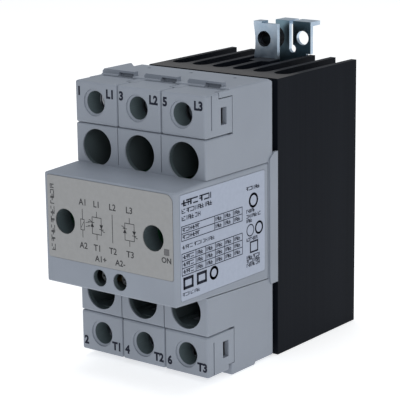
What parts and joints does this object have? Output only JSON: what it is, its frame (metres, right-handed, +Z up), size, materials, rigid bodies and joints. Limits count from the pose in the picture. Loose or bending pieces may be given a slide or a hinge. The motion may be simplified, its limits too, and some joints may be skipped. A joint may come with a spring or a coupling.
{
  "type": "solid state relay",
  "caption": "Three-pole solid state relay for a panel: stepped grey terminal housing with a protruding control cover, on a black finned heatsink with a rail bracket.",
  "frame": {"origin": "centre of the bounding box's bottom face, under the middle of the relay", "axes": "+X to the right seen from the front, across the poles; +Y from the front label back to the rail; +Z up"},
  "size_m": [0.0546, 0.1064, 0.107],
  "materials": {
    "housing_plastic": "fine-textured light grey moulding",
    "cover_plastic": "fine-textured light grey moulding",
    "black_aluminium": "black anodised, satin; cut ends slightly duller",
    "zinc_steel": "bright zinc plating",
    "spring_steel": "plain spring steel",
    "tinned_copper": "tin plated, dull",
    "terminal_steel": "zinc plated steel, satin",
    "brass": "plain brass",
    "black_steel": "blackened steel, satin",
    "gasket_black": "matt black",
    "label_grey": "printed grey film",
    "label_silver": "printed silver grey film",
    "lamp_lens": "smoky clear, unlit",
    "board_green": "green solder mask",
    "epoxy_black": "moulded epoxy",
    "varistor_blue": "dipped lacquer",
    "module_white": "white ceramic or diffuse white"
  },
  "bodies": {
    "body": {"main_housing": "housing_plastic", "front_cover": "cover_plastic", "heatsink": "black_aluminium", "rail_bracket": "zinc_steel", "latch_spring": "spring_steel", "terminal_bar_l1": "tinned_copper", "terminal_bar_t1": "tinned_copper", "terminal_bar_l3": "tinned_copper", "terminal_bar_t3": "tinned_copper", "terminal_bar_l2_t2": "tinned_copper", "latch_rivet": "terminal_steel", "housing_screw_left": "terminal_steel", "housing_screw_right": "terminal_steel", "bracket_screw_upper": "terminal_steel", "bracket_screw_lower": "terminal_steel", "control_contact_a1": "brass", "control_contact_a2": "brass", "earth_nut": "black_steel", "frame_gasket": "gasket_black", "front_label": "label_grey", "side_label": "label_silver", "lamp_lens": "lamp_lens", "control_board": "board_green", "power_board": "board_green", "riser_board": "board_green", "optocoupler_l1": "epoxy_black", "optocoupler_l3": "epoxy_black", "thyristor_module_l1": "epoxy_black", "thyristor_module_l3": "epoxy_black", "varistor_l1": "varistor_blue", "varistor_l3": "varistor_blue", "status_lamp": "module_white", "ceramic_substrate_l1": "module_white", "ceramic_substrate_l3": "module_white"},
    "cap_l1": {"terminal_cap_l1": "housing_plastic"},
    "clamp_l1": {"clamp_plate_l1": "terminal_steel"},
    "screw_l1": {"clamp_screw_l1": "terminal_steel"},
    "cap_l2": {"terminal_cap_l2": "housing_plastic"},
    "clamp_l2": {"clamp_plate_l2": "terminal_steel"},
    "screw_l2": {"clamp_screw_l2": "terminal_steel"},
    "cap_l3": {"terminal_cap_l3": "housing_plastic"},
    "clamp_l3": {"clamp_plate_l3": "terminal_steel"},
    "screw_l3": {"clamp_screw_l3": "terminal_steel"},
    "cap_t1": {"terminal_cap_t1": "housing_plastic"},
    "clamp_t1": {"clamp_plate_t1": "terminal_steel"},
    "screw_t1": {"clamp_screw_t1": "terminal_steel"},
    "cap_t2": {"terminal_cap_t2": "housing_plastic"},
    "clamp_t2": {"clamp_plate_t2": "terminal_steel"},
    "screw_t2": {"clamp_screw_t2": "terminal_steel"},
    "cap_t3": {"terminal_cap_t3": "housing_plastic"},
    "clamp_t3": {"clamp_plate_t3": "terminal_steel"},
    "screw_t3": {"clamp_screw_t3": "terminal_steel"},
    "control_screw_a1": {"control_screw_a1": "terminal_steel"},
    "control_cage_a1": {"control_cage_a1": "brass"},
    "control_screw_a2": {"control_screw_a2": "terminal_steel"},
    "control_cage_a2": {"control_cage_a2": "brass"},
    "latch": {"rail_latch": "spring_steel"}
  },
  "joints": [
    {"name": "cap_l1_slide", "type": "slide", "parent": "body", "child": "cap_l1", "axis": [0, -1, 0], "range_m": [0, 0.014]},
    {"name": "cap_l2_slide", "type": "slide", "parent": "body", "child": "cap_l2", "axis": [0, -1, 0], "range_m": [0, 0.014]},
    {"name": "cap_l3_slide", "type": "slide", "parent": "body", "child": "cap_l3", "axis": [0, -1, 0], "range_m": [0, 0.014]},
    {"name": "cap_t1_slide", "type": "slide", "parent": "body", "child": "cap_t1", "axis": [0, -1, 0], "range_m": [0, 0.014]},
    {"name": "cap_t2_slide", "type": "slide", "parent": "body", "child": "cap_t2", "axis": [0, -1, 0], "range_m": [0, 0.014]},
    {"name": "cap_t3_slide", "type": "slide", "parent": "body", "child": "cap_t3", "axis": [0, -1, 0], "range_m": [0, 0.014]},
    {"name": "clamp_l1_slide", "type": "slide", "parent": "body", "child": "clamp_l1", "axis": [0, 1, 0], "range_m": [0, 0.00196]},
    {"name": "screw_l1_turn", "type": "hinge", "parent": "clamp_l1", "child": "screw_l1", "pos_m": [-0.0187, -0.0262, 0.0877], "axis": [0, 1, 0], "range_deg": [0, 1008]},
    {"name": "clamp_l2_slide", "type": "slide", "parent": "body", "child": "clamp_l2", "axis": [0, 1, 0], "range_m": [0, 0.00196]},
    {"name": "screw_l2_turn", "type": "hinge", "parent": "clamp_l2", "child": "screw_l2", "pos_m": [-0.0007, -0.0262, 0.0877], "axis": [0, 1, 0], "range_deg": [0, 1008]},
    {"name": "clamp_l3_slide", "type": "slide", "parent": "body", "child": "clamp_l3", "axis": [0, 1, 0], "range_m": [0, 0.00196]},
    {"name": "screw_l3_turn", "type": "hinge", "parent": "clamp_l3", "child": "screw_l3", "pos_m": [0.0173, -0.0262, 0.0877], "axis": [0, 1, 0], "range_deg": [0, 1008]},
    {"name": "clamp_t1_slide", "type": "slide", "parent": "body", "child": "clamp_t1", "axis": [0, 1, 0], "range_m": [0, 0.00196]},
    {"name": "screw_t1_turn", "type": "hinge", "parent": "clamp_t1", "child": "screw_t1", "pos_m": [-0.018, -0.0262, 0.0091], "axis": [0, 1, 0], "range_deg": [0, 1008]},
    {"name": "clamp_t2_slide", "type": "slide", "parent": "body", "child": "clamp_t2", "axis": [0, 1, 0], "range_m": [0, 0.00196]},
    {"name": "screw_t2_turn", "type": "hinge", "parent": "clamp_t2", "child": "screw_t2", "pos_m": [0, -0.0262, 0.0091], "axis": [0, 1, 0], "range_deg": [0, 1008]},
    {"name": "clamp_t3_slide", "type": "slide", "parent": "body", "child": "clamp_t3", "axis": [0, 1, 0], "range_m": [0, 0.00196]},
    {"name": "screw_t3_turn", "type": "hinge", "parent": "clamp_t3", "child": "screw_t3", "pos_m": [0.018, -0.0262, 0.0091], "axis": [0, 1, 0], "range_deg": [0, 1008]},
    {"name": "control_screw_a1_turn", "type": "hinge", "parent": "body", "child": "control_screw_a1", "pos_m": [-0.0042, -0.05, 0.0347], "axis": [0, 1, 0], "range_deg": [0, 1656]},
    {"name": "control_cage_a1_slide", "type": "slide", "parent": "body", "child": "control_cage_a1", "axis": [0, -1, 0], "range_m": [0, 0.0023]},
    {"name": "control_screw_a2_turn", "type": "hinge", "parent": "body", "child": "control_screw_a2", "pos_m": [0.0042, -0.05, 0.0347], "axis": [0, 1, 0], "range_deg": [0, 1656]},
    {"name": "control_cage_a2_slide", "type": "slide", "parent": "body", "child": "control_cage_a2", "axis": [0, -1, 0], "range_m": [0, 0.0023]},
    {"name": "rail_latch_slide", "type": "slide", "parent": "body", "child": "latch", "axis": [0, 0, -1], "range_m": [0, 0.004], "stiffness_N_per_m": 1200, "springref_m": -0.004, "deforming": ["latch_spring"]}
  ],
  "couplings": [
    {"joint": "screw_l1_turn", "follows": "clamp_l1_slide", "rad_per_m": 8975.9},
    {"joint": "screw_l2_turn", "follows": "clamp_l2_slide", "rad_per_m": 8975.9},
    {"joint": "screw_l3_turn", "follows": "clamp_l3_slide", "rad_per_m": 8975.9},
    {"joint": "screw_t1_turn", "follows": "clamp_t1_slide", "rad_per_m": 8975.9},
    {"joint": "screw_t2_turn", "follows": "clamp_t2_slide", "rad_per_m": 8975.9},
    {"joint": "screw_t3_turn", "follows": "clamp_t3_slide", "rad_per_m": 8975.9},
    {"joint": "control_screw_a1_turn", "follows": "control_cage_a1_slide", "rad_per_m": 12566},
    {"joint": "control_screw_a2_turn", "follows": "control_cage_a2_slide", "rad_per_m": 12566}
  ]
}
